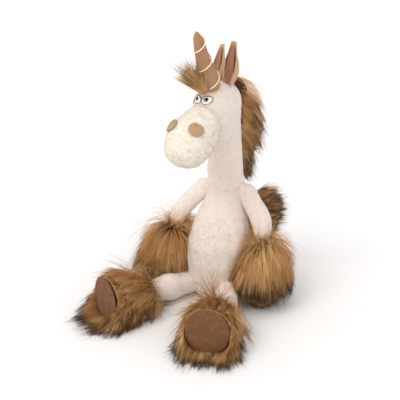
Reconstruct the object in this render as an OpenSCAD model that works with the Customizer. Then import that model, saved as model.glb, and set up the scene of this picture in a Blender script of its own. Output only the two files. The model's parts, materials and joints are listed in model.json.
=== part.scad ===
// Plush unicorn, sitting on its seat with its legs out in front.
// Millimetres, +Z up, the toy faces -Y, and its seat rests on z = 0.
// Toy's left is +X. Every soft piece is a cloth cover with its own filling.

/* [Torso] */
// Widest radius of the pear-shaped torso
torso_radius = 42; // [36:0.5:48]
// Height of the torso from the seat to where the neck bends
torso_height = 126; // [115:1:140]
// How far the top of the torso leans back over the seat
torso_set_back = 26; // [18:1:32]
// Thickness of the linen-like plush cloth
cloth = 1.4; // [1:0.1:2]
// Half width of the curly belly panel
belly_half_width = 33; // [26:1:36]
// Height of the bean pouch in the seat
seat_pouch_height = 22; // [15:1:30]

/* [Neck and head] */
// Radius of the neck at its lower end
neck_radius = 23; // [20:0.5:24.5]
// Length of the neck from its bend to the head
neck_length = 71; // [60:1:80]
// Forward lean of the neck, in degrees
neck_lean = 6.5; // [0:0.5:10]
// Turn of the head to the toy's right, in degrees
head_yaw = -8; // [-15:1:15]
// Half width of the skull
skull_half_width = 25; // [22:0.5:28]
// Half width of the big round muzzle
muzzle_half_width = 27.5; // [24:0.5:31]
// Length of the muzzle from its seam to the nose
muzzle_length = 71; // [60:1:76]
// Long side of a nostril patch
nostril_width = 17; // [14:0.5:22]
// Long side of an eye
eye_width = 12; // [10:0.5:14]

/* [Horn and ears] */
// Length of the horn
horn_length = 79.5; // [60:0.5:85]
// Radius of the horn at its foot
horn_radius = 13.9; // [11:0.1:16]
// Thickness of the cord wound round the horn
cord_diameter = 1.8; // [1.2:0.1:2.4]
// Turns of the cord
cord_turns = 2.35; // [1.5:0.05:3]
// Length of an ear
ear_length = 47; // [38:1:55]
// Widest half width of an ear
ear_half_width = 9; // [7:0.5:12]

/* [Arms and legs] */
// Thickest radius of an arm sleeve
sleeve_radius = 13.5; // [11:0.5:14]
// Radius of a fur mitt, measured in the fur's dense part
mitt_radius = 21.5; // [18:0.5:22]
// Length of a fur mitt from the wrist
mitt_length = 84; // [70:1:88]
// Radius of a leg
leg_radius = 18; // [15:0.5:19]
// Length of the bare upper leg from the hip to the knee
leg_length = 28; // [26:1:34]
// Length of a fur boot from the knee to the sole
boot_length = 75; // [66:1:82]
// Radius of a sole
sole_radius = 28; // [25:0.5:31]
// Thickness of a sole
sole_thickness = 2.4; // [1.6:0.1:3]
// How far the boot's fur runs past the sole along the floor
fringe_length = 36; // [10:1:40]

/* [Tail] */
// Radius of the tail's bush of fur
tail_radius = 21; // [16:1:25]

/* [Hidden] */
$fn = 48;
sides = 18;              // facets round a soft piece
gap = 0.5;               // clearance between pieces that move apart
seam = 0.15;             // half of a sewn seam's gap
fill_gap = 0.3;          // from a cover to its filling
skin = 1.2;              // thickness of felt and suede trims

neck_foot = [0, torso_set_back, torso_height];
dome_radius = 25.5;
neck_dir = [0, -sin(neck_lean), cos(neck_lean)];
neck_top = neck_foot + neck_length * neck_dir;
head_z = neck_top.z;     // the head stands on this level

hip_left = [27.8, -46.6, 19];
hip_right = [-39.3, -38, 19];
heading_left = 8.8;      // where each leg points, from -Y towards +X
heading_right = -33.7;
knee_rise = 1.5;         // the knee is this much higher than the hip
hip_ball = 13.5;
knee_ball = 15.5;

shoulder = [33.5, 25, 134];
shoulder_ball = 7.5;
wrist_left = [56.5, 4, 89];
wrist_right = [-56, 1, 95];
wrist_ball = 11;
mitt_dir_left = [0.16, -0.26, -0.952];
mitt_dir_right = [-0.22, -0.2, -0.955];

tail_root = [6, 52.5, 48];
tail_ball = 8;

muzzle_drop = 24;        // degrees the muzzle points down
muzzle_seam = [48, 236.5];   // forward and up, where the muzzle is sewn on
horn_foot = [37, 272.5];   // forward and up
horn_tilt = 24;          // degrees forward

function unit(v) = v / norm(v);
function heading(a) = [sin(a), -cos(a), 0];
function foot(hip, a) = hip + leg_length * heading(a) + [0, 0, knee_rise];
knee_left = foot(hip_left, heading_left);
knee_right = foot(hip_right, heading_right);

// ---- shapes ----

// Points of one ring: centre c, half axes w along s and h along u
function ring(c, s, w, u, h) =
    [for (j = [0 : sides - 1]) let (a = 360 * j / sides) c + w * cos(a) * s + h * sin(a) * u];

// A closed solid through rings that all have the same number of points
module skin_over(rings) {
    n = len(rings);
    m = len(rings[0]);
    polyhedron(
        points = [for (r = rings) for (p = r) p],
        faces = concat(
            [[for (j = [m - 1 : -1 : 0]) j]],
            [for (i = [0 : n - 2]) for (j = [0 : m - 1])
                let (k = (j + 1) % m) each [
                    [i * m + j, i * m + k, (i + 1) * m + k],
                    [i * m + j, (i + 1) * m + k, (i + 1) * m + j]]],
            [[for (j = [0 : m - 1]) (n - 1) * m + j]]),
        convexity = 6);
}

// Level rings: rows of [height, x, y, half x, half y], each inset by g
function levels(rows, g) =
    [for (i = [0 : len(rows) - 1])
        let (r = rows[i], e = i == 0 ? g : i == len(rows) - 1 ? -g : 0)
        ring([r[1], r[2], r[0] + e], [-1, 0, 0], max(r[3] - g, 0.6), [0, 1, 0], max(r[4] - g, 0.6))];
module stack(rows, g = 0) skin_over(levels(rows, g));

// A bent tube: rows of [centre, half width, half thickness], each inset by g
function tangent(rows, i) =
    unit(rows[min(i + 1, len(rows) - 1)][0] - rows[max(i - 1, 0)][0]);
function bent(rows, up, g) =
    [for (i = [0 : len(rows) - 1])
        let (t = tangent(rows, i), s = unit(cross(t, up)), u = cross(s, t),
             e = i == 0 ? g : i == len(rows) - 1 ? -g : 0)
        ring(rows[i][0] + e * t, s, max(rows[i][1] - g, 0.4), u, max(rows[i][2] - g, 0.4))];
module tube(rows, up = [0, 0, 1], g = 0) skin_over(bent(rows, up, g));

// Stand a child's +Z along d at p
module aim(p, d) translate(p) rotate([0, acos(d.z / norm(d)), atan2(d.y, d.x)]) children();
// Lay a child down: its +Z runs along the heading and its +Y points up
module lay(p, a) translate(p) rotate([0, 0, a]) rotate([90, 0, 0]) children();
// The head's own frame: forward is -Y, heights are the toy's
module on_head() translate([neck_top.x, neck_top.y, 0]) rotate([0, 0, head_yaw]) children();
function face(forward, up, side = 0) = [side, -forward, up];

// Rounded rows for a tube's ball end, running into it (out = -1) or out of it (out = 1)
function ball_rows(c, d, r, out) =
    [for (a = out < 0 ? [-75, -50, -25] : [25, 50, 75]) [c + r * sin(a) * d, r * cos(a), r * cos(a)]];

// ---- outlines of the soft pieces ----

// height, set back and radius, as shares of the torso's own sizes
torso_shape = [
    [0.00, 0.12, 0.62], [0.03, 0.09, 0.78], [0.10, 0.07, 0.90], [0.22, 0.06, 0.985],
    [0.40, 0.06, 1.00], [0.56, 0.12, 0.965], [0.70, 0.30, 0.87], [0.82, 0.52, 0.75],
    [0.92, 0.77, 0.66]];
torso_rows = concat(
    [for (r = torso_shape)
        [torso_height * r[0], 0, torso_set_back * r[1], torso_radius * r[2], torso_radius * r[2]]],
    [for (a = [0, 20, 40, 60, 78])
        [torso_height + dome_radius * sin(a), 0, torso_set_back, dome_radius * cos(a), dome_radius * cos(a)]]);

// height over the neck, forward, half length and half width as a share of the skull's
head_shape = [
    [0.5, 0, 21.5, 0.86], [7, 2, 23.5, 0.90], [16, 8, 29.5, 0.94], [27, 15, 36, 0.98],
    [40, 19, 41, 1.00], [53, 19, 43, 0.98], [63, 20, 40, 0.88], [71, 22, 33, 0.68],
    [77, 24, 23, 0.44], [80, 25, 12, 0.20]];
head_rows = [for (r = head_shape)
    [head_z + r[0], 0, -r[1], skull_half_width * r[3], r[2]]];

// share of the muzzle's length, half height, half width as a share of the widest
muzzle_shape = [
    [0.003, 25, 0.77], [0.14, 26, 0.87], [0.29, 27.5, 0.95], [0.44, 28.5, 1.0], [0.59, 28.5, 1.0],
    [0.74, 26, 0.92], [0.86, 21, 0.75], [0.95, 13.5, 0.49], [1.0, 5, 0.18]];
muzzle_rows = [for (r = muzzle_shape)
    [muzzle_length * r[0], 0, 0, muzzle_half_width * r[2], r[1]]];

// ---- torso ----

// The stretch of the front that the belly panel covers, grown by g
module belly_area(g) translate([0, 4, 0.48 * torso_height]) rotate([90, 0, 0])
    linear_extrude(80)
        polygon([for (a = [0 : 12 : 348])
            [(belly_half_width + g) * cos(a), (0.44 * torso_height + g) * sin(a)]]);

module torso_wall() difference() { stack(torso_rows); stack(torso_rows, cloth); }

module torso_cover() color("#ebe1d7")
    difference() { torso_wall(); belly_area(seam); }
module belly_panel() color("#eee6d4")
    intersection() { torso_wall(); belly_area(-seam); }
module torso_stuffing() color("#ffffff") difference() {
    stack(torso_rows, cloth + fill_gap);
    translate([-100, -100, -1]) cube([200, 200, seat_pouch_height + 1 + fill_gap]);
}
module seat_bean_pouch() color("#d8cbb4") intersection() {
    stack(torso_rows, cloth + fill_gap);
    translate([-100, -100, -1]) cube([200, 200, seat_pouch_height + 1 - fill_gap]);
}

// ---- neck ----

// Profile of the neck from the cup at its foot up, inset by g
function cup(r, from, to, steps) =
    [for (i = [0 : steps]) let (a = from + (to - from) * i / steps) [r * sin(a), r * cos(a)]];
function neck_profile(g) =
    let (c = dome_radius + gap + g, a = asin((neck_radius - g) / c))
    concat(cup(c, 0, a, 8),
        [[neck_radius * 0.99 - g, neck_length * 0.35], [neck_radius * 0.96 - g, neck_length * 0.7],
         [neck_radius * 0.94 - g, neck_length + 8], [0, neck_length + 8]]);
module neck_body(g) intersection() {
    aim(neck_foot, neck_dir) rotate_extrude() polygon(neck_profile(g));
    translate([-60, -60, 0]) cube([120, 140, head_z - g]);
}
module neck_cover() color("#ebe1d7")
    difference() { neck_body(0); neck_body(cloth); }
module neck_stuffing() color("#ffffff") neck_body(cloth + fill_gap);

// ---- head ----

// Everything in front of the muzzle's seam, moved forward by g
module ahead_of_seam(g) translate(face(muzzle_seam[0], muzzle_seam[1]))
    rotate([muzzle_drop, 0, 0]) translate([-60, -90 - g, -60]) cube([120, 90, 120]);
module muzzle_place() translate(face(muzzle_seam[0], muzzle_seam[1]))
    rotate([90 + muzzle_drop, 0, 0]) children();

module head_cover() color("#ebe1d7") on_head() difference() {
    stack(head_rows);
    stack(head_rows, cloth);
    ahead_of_seam(-seam);
}
module head_stuffing() color("#ffffff") on_head() difference() {
    stack(head_rows, cloth + fill_gap);
    ahead_of_seam(-fill_gap);
}
module muzzle_cover() color("#eee6d2") on_head() muzzle_place()
    difference() { stack(muzzle_rows); stack(muzzle_rows, cloth); }
module muzzle_stuffing() color("#ffffff") on_head() muzzle_place()
    stack(muzzle_rows, cloth + fill_gap);

// An oval patch lying on the muzzle or the head: the wall outside the cover
module oval_bar(w, h) linear_extrude(60)
    polygon([for (a = [0 : 15 : 345]) [w / 2 * cos(a), h / 2 * sin(a)]]);
module nostril(side) color("#be9673") on_head() intersection() {
    muzzle_place() difference() { stack(muzzle_rows, -0.1 - skin); stack(muzzle_rows, -0.1); }
    translate(face(muzzle_seam[0] + 33, muzzle_seam[1] - 14.7))
        aim([0, 0, 0], [side * 0.55, -0.53, 0.64]) oval_bar(nostril_width * 0.9, nostril_width);
}
module nostril_patch_left() nostril(1);
module nostril_patch_right() nostril(-1);

module eye(side) color("#f6f4f0") on_head() intersection() {
    difference() { stack(head_rows, -0.1 - 0.8); stack(head_rows, -0.1); }
    translate(face(20, head_z + 67, side * 6.4)) rotate([90, 0, 0])
        oval_bar(eye_width, eye_width * 0.88);
}
module eye_left() eye(1);
module eye_right() eye(-1);

// ---- horn ----

horn_dir = face(sin(horn_tilt), cos(horn_tilt));
// share of the length and share of the foot's radius
horn_shape = [[0, 0.96], [0.11, 1], [0.26, 0.92], [0.46, 0.69], [0.61, 0.605],
    [0.74, 0.54], [0.87, 0.445], [0.95, 0.31], [1, 0.07]];
function horn_profile(g) = concat([[0, g]],
    [for (r = horn_shape) [max(horn_radius * r[1] - g, 0.2),
        r[0] == 0 ? g : horn_length * r[0] - g * (r[0] > 0.9 ? 1 : 0)]],
    [[0, horn_length - g]]);
module horn_body(g) difference() {
    aim(face(horn_foot[0], horn_foot[1]), horn_dir) rotate_extrude() polygon(horn_profile(g));
    stack(head_rows, -0.2 - g);
}
module horn_cover() color("#b98764") on_head()
    difference() { horn_body(0); horn_body(skin); }
module horn_stuffing() color("#ffffff") on_head() horn_body(skin + fill_gap);

// Radius of the horn at a share t of its length
function horn_at(t) = horn_radius * lookup(t, horn_shape);
cord_steps = 24;
cord_from = 0.11;
cord_to = 0.845;
module horn_cord() color("#ffe6c8") on_head()
    aim(face(horn_foot[0], horn_foot[1]), horn_dir) rotate([0, 0, 180]) let ($fn = 6)
        cord_solid([for (i = [0 : round(cord_steps * cord_turns)])
            let (t = i / round(cord_steps * cord_turns), s = cord_from + (cord_to - cord_from) * t,
                 a = 360 * cord_turns * t - 147,
                 r = horn_at(s) + cord_diameter / 2 + 0.5)
            [r * cos(a), r * sin(a), horn_length * s]]);
module cord_solid(path) skin_over(
    [for (i = [0 : len(path) - 1])
        let (t = unit(path[min(i + 1, len(path) - 1)] - path[max(i - 1, 0)]),
             s = unit(cross(t, [0, 0, 1])), u = cross(s, t))
        [for (j = [0 : 5]) path[i] + cord_diameter / 2 * (cos(60 * j) * s + sin(60 * j) * u)]]);

// ---- ears ----

ear_foot = [14, head_z + 79.4, 9.8];     // forward, up, side
// the right ear leans well back, the left one stands up
function ear_dir(side) = unit([side * 0.11, side > 0 ? 0.12 : 0.8, 0.97]);
function ear_front(side) = let (d = ear_dir(side)) unit([0, -d[2], d[1]]);
// share of the length and share of the half width
ear_shape = [[0, 0.5], [0.12, 0.75], [0.3, 1], [0.5, 0.88], [0.7, 0.6], [0.88, 0.38], [0.97, 0.3], [1, 0.15]];
module leaf(side, w, t, forward) tube(
    [for (r = ear_shape)
        [face(ear_foot[0] + forward, ear_foot[1], side * ear_foot[2]) + ear_length * r[0] * ear_dir(side),
         w * r[1], t]],
    up = ear_front(side) + [side * 0.35, 0, 0]);
module ear_left() color("#b98f6e") on_head() leaf(1, ear_half_width, 1.2, 0);
module ear_right() color("#b98f6e") on_head() leaf(-1, ear_half_width, 1.2, 0);
module lining(side) color("#9a6a55") on_head()
    translate(2.5 * ear_front(side) + 2.7 * ear_dir(side))
    leaf(side, ear_half_width * 0.78, 0.7, 0);
module ear_lining_left() lining(1);
module ear_lining_right() lining(-1);

// ---- hair ----

module forelock() color("#a56e37") on_head() difference() {
    tube([[face(50, 267), 5, 3], [face(56, 274), 9, 4.5], [face(62, 281), 12, 5],
          [face(69, 287), 11, 4], [face(75, 291), 6, 2]], up = [0, -1, 0.3]);
    stack(head_rows, -1.3);
    aim(face(horn_foot[0], horn_foot[1]), horn_dir) cylinder(r = horn_radius + 3.4, h = horn_length);
}
module mane_head() color("#a56e37") on_head() difference() {
    tube([[face(-9, head_z + 80, 3), 4, 3], [face(-15, head_z + 77, 5), 7, 5.5],
          [face(-23, head_z + 70, 7), 10, 8], [face(-30, head_z + 52, 8), 11, 10],
          [face(-31, head_z + 32, 9), 11, 11], [face(-29, head_z + 13, 9), 10, 10],
          [face(-27, head_z + 3, 8), 7, 6], [face(-26, head_z - 3, 8), 5, 5]], up = [0, 1, 0.2]);
    stack(head_rows, -0.3);
    translate([-60, -60, 0]) cube([120, 120, head_z + gap]);
}
module mane_neck() color("#a56e37") difference() {
    tube([[[8, neck_top.y + 25, head_z + 3], 5, 5], [[9, neck_top.y + 27, head_z - 6], 9, 9],
          [[10, neck_top.y + 30, head_z - 20], 10, 10], [[11, neck_top.y + 33, head_z - 36], 7, 7],
          [[11, neck_top.y + 35, head_z - 46], 3, 3]], up = [0, 1, 0]);
    neck_body(-0.3);
    translate([-60, -60, head_z - gap]) cube([120, 150, 60]);
}
module tail_rows_solid(g) tube(concat(
    ball_rows(tail_root, [0.35, 0.9, 0.26], tail_ball, -1),
    [[tail_root, tail_ball, tail_ball], [tail_root + [5, 9, 5], 12, 12],
     [tail_root + [13, 17, 15], 0.86 * tail_radius, 0.86 * tail_radius],
     [tail_root + [20, 23, 31], tail_radius, tail_radius],
     [tail_root + [23, 24, 48], 0.86 * tail_radius, 0.86 * tail_radius],
     [tail_root + [23, 24, 62], 0.5 * tail_radius, 0.5 * tail_radius],
     [tail_root + [22, 24, 68], 0.15 * tail_radius, 0.15 * tail_radius]]),
    up = [-0.6, 0.5, 0.1], g = g);
module tail_core() color("#7a5230") tail_rows_solid(5.5);
module tail_fur() color("#a56e37") difference() { tail_rows_solid(0); tail_rows_solid(5.2); }

// ---- arms ----

sleeve_path_left = [[39, 20, 121], [47, 15, 111], [53, 10, 102], [56, 6, 95]];
sleeve_path_right = [[-38, 19, 125], [-44, 12.5, 116], [-49.5, 7, 108], [-54, 3, 101]];
sleeve_girth = [0.82, 0.96, 1, 0.92];
function sleeve_rows(root, path, wrist, girth) =
    let (d0 = unit(path[0] - root), d1 = unit(wrist - path[3]))
    concat(ball_rows(root, d0, shoulder_ball, -1), [[root, shoulder_ball, shoulder_ball]],
        [for (i = [0 : 3]) [path[i], girth * sleeve_girth[i], girth * sleeve_girth[i]]],
        [[wrist, wrist_ball, wrist_ball]], ball_rows(wrist, d1, wrist_ball, 1));
left_sleeve = sleeve_rows(shoulder, sleeve_path_left, wrist_left, sleeve_radius);
right_sleeve = sleeve_rows([-shoulder.x, shoulder.y, shoulder.z], sleeve_path_right, wrist_right,
    0.9 * sleeve_radius);
module sleeve(rows) color("#ebe1d7")
    difference() { tube(rows, [0, 1, 0]); tube(rows, [0, 1, 0], cloth); }
module arm_sleeve_left() sleeve(left_sleeve);
module arm_sleeve_right() sleeve(right_sleeve);
module arm_stuffing_left() color("#ffffff") tube(left_sleeve, [0, 1, 0], cloth + fill_gap);
module arm_stuffing_right() color("#ffffff") tube(right_sleeve, [0, 1, 0], cloth + fill_gap);

// share of the length and share of the mitt's radius
mitt_shape = [[0.08, 0.58], [0.17, 0.70], [0.33, 0.90], [0.50, 1], [0.68, 1], [0.83, 0.84],
    [0.94, 0.55], [1, 0.2]];
function mitt_profile(length, g) = concat([[0, length * mitt_shape[0][0] + g]],
    [for (i = [0 : 7]) let (r = mitt_shape[i], e = i == 0 ? g : i == 7 ? -g : 0)
        [max(mitt_radius * r[1] - g, 0.3), length * r[0] + e]],
    [[0, length - g]]);
module mitt(p, d, length, g) aim(p, d) difference() {
    rotate_extrude() polygon(mitt_profile(length, g));
    sphere(wrist_ball + gap + g);
}
fur_depth = 6;           // the fur's dense part, outside the stuffed hand
module mitt_fur(p, d, length) color("#a56e37")
    difference() { mitt(p, d, length, 0); mitt(p, d, length, fur_depth); }
module mitt_fur_left() mitt_fur(wrist_left, mitt_dir_left, mitt_length);
module mitt_fur_right() mitt_fur(wrist_right, mitt_dir_right, mitt_length - 2);
module mitt_stuffing_left() color("#ffffff")
    mitt(wrist_left, mitt_dir_left, mitt_length, fur_depth + fill_gap);
module mitt_stuffing_right() color("#ffffff")
    mitt(wrist_right, mitt_dir_right, mitt_length - 2, fur_depth + fill_gap);

// ---- legs ----

// distance, rise and radius along the laid-down leg
leg_rows = concat(
    [for (a = [-75, -50, -25]) [hip_ball * sin(a), 0, 0, hip_ball * cos(a), hip_ball * cos(a)]],
    [[0, 0, 0, hip_ball, hip_ball], [5, 0, 0.2, leg_radius * 0.92, leg_radius * 0.92],
     [leg_length * 0.38, 0, 0.4, leg_radius, leg_radius],
     [leg_length - 11, 0, knee_rise * 0.6, leg_radius * 0.98, leg_radius * 0.98],
     [leg_length - 4.5, 0, knee_rise * 0.9, leg_radius * 0.865, leg_radius * 0.865],
     [leg_length, 0, knee_rise, knee_ball, knee_ball]],
    [for (a = [25, 50, 75])
        [leg_length + knee_ball * sin(a), 0, knee_rise, knee_ball * cos(a), knee_ball * cos(a)]]);
module leg(hip, a, g, h) color("#ebe1d7") lay(hip, a)
    difference() { stack(leg_rows, g); if (h > 0) stack(leg_rows, h); }
module leg_cover_left() leg(hip_left, heading_left, 0, cloth);
module leg_cover_right() leg(hip_right, heading_right, 0, cloth);
module leg_beans_left() color("#d8cbb4") leg(hip_left, heading_left, cloth + fill_gap, 0);
module leg_beans_right() color("#d8cbb4") leg(hip_right, heading_right, cloth + fill_gap, 0);

// distance from the knee as a share, and radius as a share of the sole's
boot_shape = [[0.09, 0.66], [0.25, 0.76], [0.45, 0.87], [0.65, 0.96], [0.85, 1.01], [1, 1]];
boot_rows = [for (r = boot_shape)
    let (q = sole_radius * r[1])
    [boot_length * r[0], 0, q + 1.6 - hip_left.z - knee_rise, q, q]];
module boot_solid(g) difference() {
    stack(boot_rows, g);
    sphere(knee_ball + gap + g);
}
// The long fur that lies on the floor round the sole and past it
boot_floor = 0.3 - hip_left.z - knee_rise;
module boot_fringe() difference() {
    intersection() {
        translate([0, sole_radius + 1.6 - hip_left.z - knee_rise, boot_length - 5])
            cylinder(r1 = sole_radius + 2, r2 = sole_radius + 4, h = fringe_length + 5);
        rotate([0, -90, 0]) translate([0, 0, -50]) linear_extrude(100)
            polygon([for (c = [[-5, 0], [-5, 13], [3, 12], [fringe_length * 0.6, 6],
                               [fringe_length, 3], [fringe_length, 0]])
                [boot_length + c[0], boot_floor + c[1]]]);
    }
    stack(boot_rows, 1);
    translate([0, sole_radius + 1.6 - hip_left.z - knee_rise, boot_length - 0.2])
        cylinder(r = sole_radius + 0.4, h = sole_thickness + 0.8);
}
module boot_fur(knee, a) color("#a56e37") lay(knee, a) {
    difference() { boot_solid(0); boot_solid(fur_depth); }
    boot_fringe();
}
module boot_fur_left() boot_fur(knee_left, heading_left);
module boot_fur_right() boot_fur(knee_right, heading_right);
module boot_stuffing(knee, a) color("#ffffff") lay(knee, a) boot_solid(fur_depth + fill_gap);
module boot_stuffing_left() boot_stuffing(knee_left, heading_left);
module boot_stuffing_right() boot_stuffing(knee_right, heading_right);
module sole(knee, a) color("#78492e") lay(knee, a)
    translate([0, sole_radius + 1.6 - hip_left.z - knee_rise, boot_length + 0.1])
        cylinder(r = sole_radius, h = sole_thickness);
module sole_left() sole(knee_left, heading_left);
module sole_right() sole(knee_right, heading_right);

torso_cover();
belly_panel();
torso_stuffing();
seat_bean_pouch();
neck_cover();
neck_stuffing();
head_cover();
head_stuffing();
muzzle_cover();
muzzle_stuffing();
nostril_patch_left();
nostril_patch_right();
eye_left();
eye_right();
horn_cover();
horn_stuffing();
horn_cord();
ear_left();
ear_right();
ear_lining_left();
ear_lining_right();
forelock();
mane_head();
mane_neck();
tail_core();
tail_fur();
arm_sleeve_left();
arm_sleeve_right();
arm_stuffing_left();
arm_stuffing_right();
mitt_fur_left();
mitt_fur_right();
mitt_stuffing_left();
mitt_stuffing_right();
leg_cover_left();
leg_cover_right();
leg_beans_left();
leg_beans_right();
boot_fur_left();
boot_fur_right();
boot_stuffing_left();
boot_stuffing_right();
sole_left();
sole_right();
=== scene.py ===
"""Sews, stuffs and combs a sitting plush unicorn on its CAD frame."""
import json
import math

import bmesh
import bpy
import numpy as np
from bpy.props import FloatProperty, FloatVectorProperty, IntProperty, PointerProperty
from mathutils import Matrix, Vector
from mathutils.bvhtree import BVHTree
from mathutils.kdtree import KDTree


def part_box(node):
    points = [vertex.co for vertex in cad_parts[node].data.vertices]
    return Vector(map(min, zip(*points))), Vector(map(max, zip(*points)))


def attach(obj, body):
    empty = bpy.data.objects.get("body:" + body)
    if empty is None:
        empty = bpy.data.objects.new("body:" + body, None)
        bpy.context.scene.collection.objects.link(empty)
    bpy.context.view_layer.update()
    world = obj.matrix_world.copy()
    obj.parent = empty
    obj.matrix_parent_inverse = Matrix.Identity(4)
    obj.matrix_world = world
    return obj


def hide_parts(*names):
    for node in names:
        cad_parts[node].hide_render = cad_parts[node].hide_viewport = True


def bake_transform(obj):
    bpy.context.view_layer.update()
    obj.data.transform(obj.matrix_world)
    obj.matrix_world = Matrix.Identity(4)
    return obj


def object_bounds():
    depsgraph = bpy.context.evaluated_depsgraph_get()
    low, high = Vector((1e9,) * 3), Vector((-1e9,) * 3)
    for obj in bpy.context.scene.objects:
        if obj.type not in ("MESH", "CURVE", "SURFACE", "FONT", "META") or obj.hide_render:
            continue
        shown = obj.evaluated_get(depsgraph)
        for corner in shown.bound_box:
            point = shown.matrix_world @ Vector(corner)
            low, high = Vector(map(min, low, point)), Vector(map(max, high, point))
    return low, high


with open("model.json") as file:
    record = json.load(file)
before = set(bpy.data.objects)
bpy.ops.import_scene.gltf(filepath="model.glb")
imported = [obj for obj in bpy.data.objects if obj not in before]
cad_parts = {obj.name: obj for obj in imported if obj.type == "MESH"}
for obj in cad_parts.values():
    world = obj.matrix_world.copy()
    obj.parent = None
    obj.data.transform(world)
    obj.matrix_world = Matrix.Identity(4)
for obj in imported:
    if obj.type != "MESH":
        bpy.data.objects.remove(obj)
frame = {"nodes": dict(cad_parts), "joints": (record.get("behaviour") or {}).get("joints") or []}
CAD_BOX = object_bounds()

bl_info = {
    "name": "Plush Unicorn",
    "version": (1, 0, 0),
    "blender": (4, 5, 0),
    "location": "View3D > Sidebar > Unicorn",
    "description": "Makes the cloth, fur, horn and face of a sitting plush unicorn",
    "category": "Object",
}

MM = 0.001
PIVOT = {j["name"]: Vector(j["pos_m"]) for j in frame["joints"]}
AXIS = {j["name"]: Vector(j["axis"]).normalized() for j in frame["joints"]}
NECK_FOOT = PIVOT["neck_lean"]
NECK_TOP = PIVOT["head_turn"]
NECK_DIR = (NECK_TOP - NECK_FOOT).normalized()
NECK_SEAM = NECK_FOOT + NECK_DIR * 31 * MM             # where the torso's cloth meets the head's
HEAD_SIDE = AXIS["ear_left_fold"]                      # the head's own left
HEAD_FRONT = Vector((HEAD_SIDE.y, -HEAD_SIDE.x, 0))    # where the face looks
UP = Vector((0, 0, 1))
DOWN = -UP
SIDES = (("left", 1), ("right", -1))
TORSO_VOXEL = 4 * MM
HEAD_VOXEL = 3.2 * MM
SEAM_LAP = 9                                           # millimetres the two cloths lap
SEAM_DEPTH = 1.9 * MM
FLOOR_GAP = 0.6 * MM                                   # least height of hair over the floor
CAMERA_TARGET = Vector((-38.1, 31.9, 108.5)) * MM


# ---- settings ----

def colour(name, text, default):
    return FloatVectorProperty(name=name, description=text, subtype="COLOR", size=3,
                               min=0, max=1, default=default)


class ClothSettings(bpy.types.PropertyGroup):
    body: colour("Body plush", "Short nap plush of the body", (0.80, 0.705, 0.635))
    curly: colour("Curly plush", "Curly pile of the muzzle and belly", (0.86, 0.795, 0.695))
    horn: colour("Horn suede", "Suede of the horn", (0.42, 0.23, 0.122))
    ear: colour("Ear suede", "Outer suede of the ears", (0.56, 0.36, 0.215))
    lining: colour("Ear lining", "Darker suede inside the ears", (0.36, 0.185, 0.11))
    nostril: colour("Nostril suede", "Suede of the nostril patches", (0.48, 0.31, 0.18))
    sole: colour("Sole suede", "Suede of the boot soles", (0.185, 0.083, 0.036))
    cord: colour("Horn cord", "Thin shiny cord round the horn", (0.93, 0.78, 0.58))
    swell: FloatProperty(name="Swell", description="How far the filling may push the cloth out",
                         default=2.5 * MM, min=0.5 * MM, max=4 * MM, unit="LENGTH")


class FurSettings(bpy.types.PropertyGroup):
    root: colour("Root", "Hair colour at the root", (0.10, 0.038, 0.012))
    middle: colour("Middle", "Hair colour along most of its length", (0.52, 0.235, 0.062))
    light: colour("Light", "Colour of the palest hairs", (0.90, 0.56, 0.25))
    tip: colour("Tip", "Colour of the dark tips", (0.013, 0.010, 0.010))
    hairs: IntProperty(name="Hairs", description="Hairs on each mitt and boot",
                       default=8200, min=500, max=8800)
    length: FloatProperty(name="Length", description="Length of the hair on the mitts and boots",
                          default=46 * MM, min=15 * MM, max=70 * MM, unit="LENGTH")
    thickness: FloatProperty(name="Thickness", description="Thickness of one hair at its root",
                             default=0.46 * MM, min=0.1 * MM, max=1 * MM, unit="LENGTH")
    pile: FloatProperty(name="Pile", description="Length of the curly pile",
                        default=2.4 * MM, min=1 * MM, max=6 * MM, unit="LENGTH")


class FaceSettings(bpy.types.PropertyGroup):
    eye_width: FloatProperty(name="Eye width", description="Long side of an eye",
                             default=11.0 * MM, unit="LENGTH")
    eye_height: FloatProperty(name="Eye height", description="Short side of an eye",
                              default=8.4 * MM, unit="LENGTH")
    thread: FloatProperty(name="Thread", description="Thickness of the eye's outline thread",
                          default=0.8 * MM, unit="LENGTH")


class StageSettings(bpy.types.PropertyGroup):
    azimuth: FloatProperty(name="Azimuth", description="Camera's angle round the toy",
                           default=math.radians(22), subtype="ANGLE")
    elevation: FloatProperty(name="Elevation", description="Camera's angle above the floor",
                             default=math.radians(22), subtype="ANGLE")
    distance: FloatProperty(name="Distance", description="Camera's distance from its target",
                            default=1.1, unit="LENGTH")
    lens: FloatProperty(name="Lens", description="Focal length in millimetres", default=76.1)


# ---- small tools ----

def only(*objs):
    """Selects just these objects, the first one active."""
    bpy.ops.object.select_all(action="DESELECT")
    for obj in objs:
        obj.select_set(True)
    bpy.context.view_layer.objects.active = objs[0]


def apply_all(obj):
    only(obj)
    for mod in list(obj.modifiers):
        bpy.ops.object.modifier_apply(modifier=mod.name)


def modify(obj, name, kind, **values):
    """Adds a modifier with its values set."""
    mod = obj.modifiers.new(name, kind)
    for key, value in values.items():
        setattr(mod, key, value)


def soften(obj, name, levels):
    modify(obj, name, "SUBSURF", levels=levels, render_levels=levels)


def shade(obj):
    only(obj)
    bpy.ops.object.shade_smooth()


def pick(obj, kind, wanted):
    """Opens a mesh for editing with the wanted points or faces selected."""
    only(obj)
    bpy.ops.object.mode_set(mode="EDIT")
    bpy.ops.mesh.select_all(action="DESELECT")
    bpy.ops.object.mode_set(mode="OBJECT")
    parts = obj.data.vertices if kind == "VERT" else obj.data.polygons
    parts.foreach_set("select", [bool(choice) for choice in wanted])
    bpy.ops.object.mode_set(mode="EDIT")
    bpy.ops.mesh.select_mode(type=kind)


def settle(obj, name):
    """Names a new object and moves its place into its mesh."""
    only(obj)
    bpy.ops.object.transform_apply(location=True, rotation=True, scale=True)
    obj.name = obj.data.name = name
    return obj


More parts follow.
